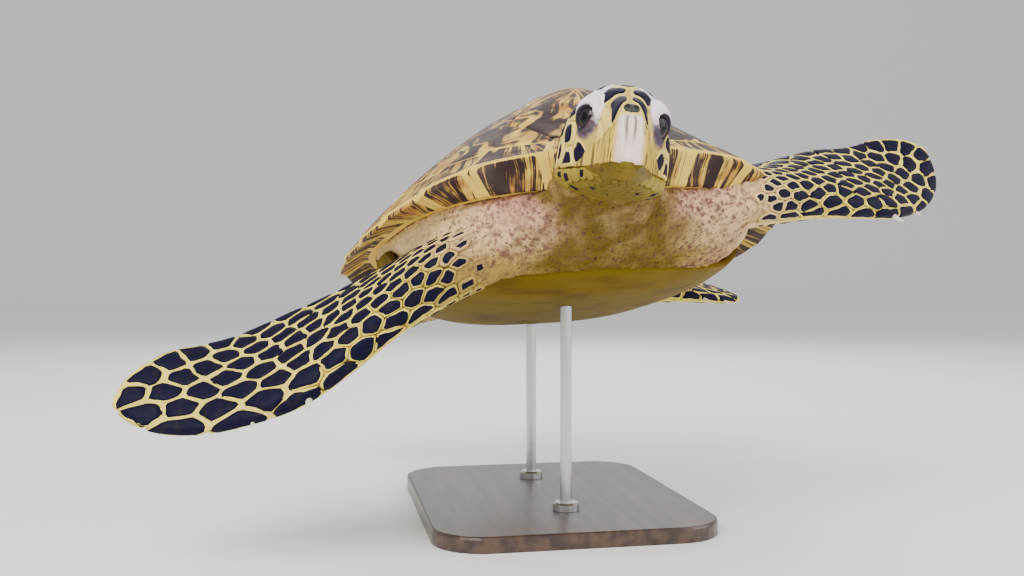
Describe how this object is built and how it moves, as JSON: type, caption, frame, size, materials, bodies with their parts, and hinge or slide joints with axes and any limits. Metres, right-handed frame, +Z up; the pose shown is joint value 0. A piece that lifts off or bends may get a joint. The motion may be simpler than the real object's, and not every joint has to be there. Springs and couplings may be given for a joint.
{
  "type": "hawksbill sea turtle display model",
  "caption": "Life-size still model of a hawksbill sea turtle swimming with its flippers spread, held on rods above a plain flat stand.",
  "frame": {"origin": "centre of the underside of the stand's base", "axes": "+Z up; the turtle swims towards -Y and its left side is towards +X"},
  "size_m": [0.9861, 0.8556, 0.5168],
  "materials": {
    "skin": "soft satin",
    "flipper_scales": "satin scales with pale seams",
    "shell_plates": "polished horn, streaked amber and brown",
    "plastron": "satin horn",
    "horn": "satin horn",
    "eye": "wet gloss",
    "stand_wood": "dark satin stain",
    "stand_steel": "brushed"
  },
  "bodies": {
    "root": {"head": "skin", "jaw": "skin", "neck": "skin", "trunk": "skin", "tail": "skin", "fore_flipper_left": "flipper_scales", "fore_flipper_right": "flipper_scales", "hind_flipper_left": "flipper_scales", "hind_flipper_right": "flipper_scales", "carapace": "shell_plates", "plastron": "plastron", "beak_upper": "horn", "beak_lower": "horn", "fore_claw_left_1": "horn", "fore_claw_left_2": "horn", "fore_claw_right_1": "horn", "fore_claw_right_2": "horn", "hind_claw_left_1": "horn", "hind_claw_left_2": "horn", "hind_claw_right_1": "horn", "hind_claw_right_2": "horn", "eye_left": "eye", "eye_right": "eye", "stand_base": "stand_wood", "stand_rod_front": "stand_steel", "stand_rod_back": "stand_steel"}
  },
  "joints": []
}
